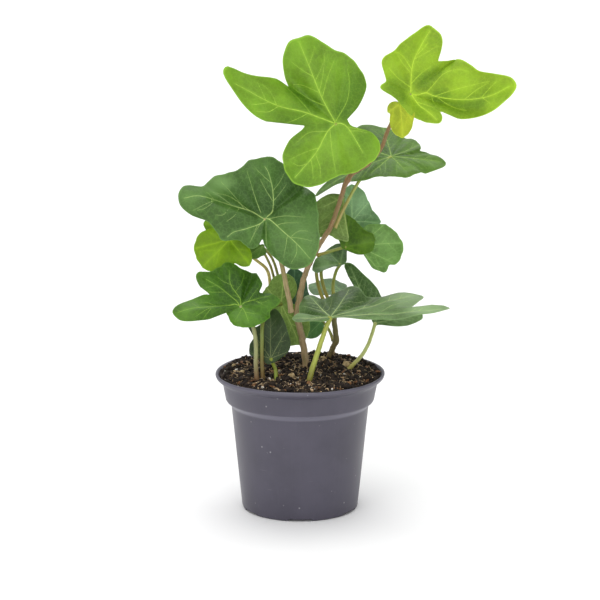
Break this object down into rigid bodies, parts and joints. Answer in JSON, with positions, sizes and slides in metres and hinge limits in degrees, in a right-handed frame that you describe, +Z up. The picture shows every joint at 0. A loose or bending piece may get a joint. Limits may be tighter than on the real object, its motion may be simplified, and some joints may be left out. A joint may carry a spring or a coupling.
{
  "type": "potted ivy",
  "caption": "Young ivy plant with lobed leaves on thin stems, rooted in soil in a small round ribbed-rim nursery pot that stands on a flat foot.",
  "frame": {"origin": "centre of the pot's flat foot, on the ground", "axes": "+Z up along the pot's axis; -Y towards the side the plant is looked at from; +X to that viewer's right"},
  "size_m": [0.1794, 0.0963, 0.2595],
  "materials": {
    "pot_plastic": "thin moulded plastic, dark grey, soft sheen",
    "soil": "loose peat and bark, matt",
    "bark": "young bark, semi-matt",
    "petiole": "smooth living stalk, satin",
    "leaf_young": "fresh leaf, satin",
    "leaf_old": "leathery leaf, satin"
  },
  "bodies": {
    "root": {"leaf_behind_stem": "leaf_old", "leaf_between_stems": "leaf_old", "leaf_big_left": "leaf_old", "leaf_centre_right": "leaf_old", "leaf_far_low": "leaf_old", "leaf_far_right": "leaf_old", "leaf_front_right": "leaf_old", "leaf_low_back": "leaf_old", "leaf_low_front": "leaf_old", "leaf_low_right": "leaf_old", "leaf_lower_left": "leaf_old", "leaf_mid_back": "leaf_old", "leaf_mid_fold": "leaf_old", "leaf_mid_right": "leaf_old", "leaf_small_inner": "leaf_old", "leaf_top_bud": "leaf_young", "leaf_top_left": "leaf_young", "leaf_top_right": "leaf_young", "leaf_upper_right": "leaf_old", "leaf_young_back": "leaf_young", "leaf_young_left": "leaf_young", "petiole_behind_stem": "petiole", "petiole_between_stems": "petiole", "petiole_big_left": "petiole", "petiole_centre_right": "petiole", "petiole_far_low": "petiole", "petiole_far_right": "petiole", "petiole_front_right": "petiole", "petiole_low_back": "petiole", "petiole_low_front": "petiole", "petiole_low_right": "petiole", "petiole_lower_left": "petiole", "petiole_mid_back": "petiole", "petiole_mid_fold": "petiole", "petiole_mid_right": "petiole", "petiole_small_inner": "petiole", "petiole_top_bud": "petiole", "petiole_top_left": "petiole", "petiole_top_right": "petiole", "petiole_upper_right": "petiole", "petiole_young_back": "petiole", "petiole_young_left": "petiole", "pot": "pot_plastic", "soil": "soil", "stem_main": "bark", "stem_right": "bark"}
  },
  "joints": []
}
